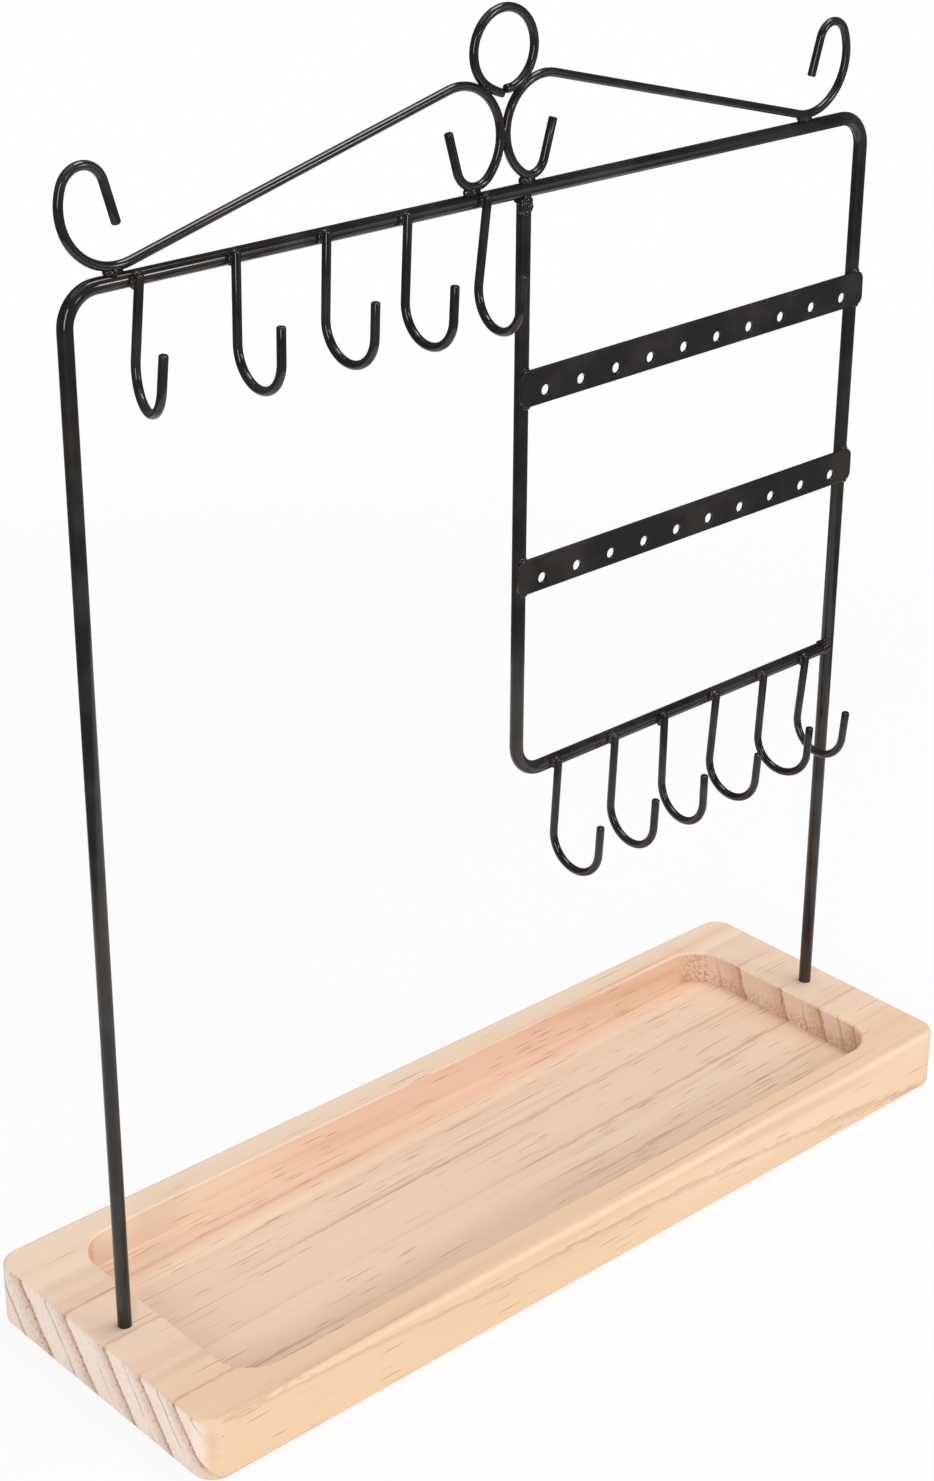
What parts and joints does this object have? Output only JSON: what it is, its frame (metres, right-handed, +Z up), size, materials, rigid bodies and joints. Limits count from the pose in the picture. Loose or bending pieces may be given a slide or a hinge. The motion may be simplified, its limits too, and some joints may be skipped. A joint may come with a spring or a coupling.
{
  "type": "jewelry stand",
  "caption": "Free-standing jewelry stand: a black wire rack with hooks, drilled earring bars and a scrolled crest, plugged into a milled pine tray.",
  "frame": {"origin": "centre of the tray's underside", "axes": "+Z up, +X along the tray towards the earring bars, +Y to the back; the hooks point to -Y"},
  "size_m": [0.3, 0.1, 0.3602],
  "materials": {
    "pine": "sanded pine with a thin clear coat, grain along X",
    "black_paint": "black satin gloss paint"
  },
  "bodies": {
    "tray": {"tray_base": "pine"},
    "rack": {"earring_bar_lower": "black_paint", "earring_bar_upper": "black_paint", "finial_ring": "black_paint", "hook_lower_1": "black_paint", "hook_lower_2": "black_paint", "hook_lower_3": "black_paint", "hook_lower_4": "black_paint", "hook_lower_5": "black_paint", "hook_lower_6": "black_paint", "hook_upper_1": "black_paint", "hook_upper_2": "black_paint", "hook_upper_3": "black_paint", "hook_upper_4": "black_paint", "hook_upper_5": "black_paint", "main_frame": "black_paint", "panel_wire": "black_paint", "scroll_left": "black_paint", "scroll_right": "black_paint"}
  },
  "joints": [
    {"name": "rack_lift", "type": "slide", "parent": "tray", "child": "rack", "axis": [0, 0, 1], "range_m": [0, 0.015]}
  ]
}
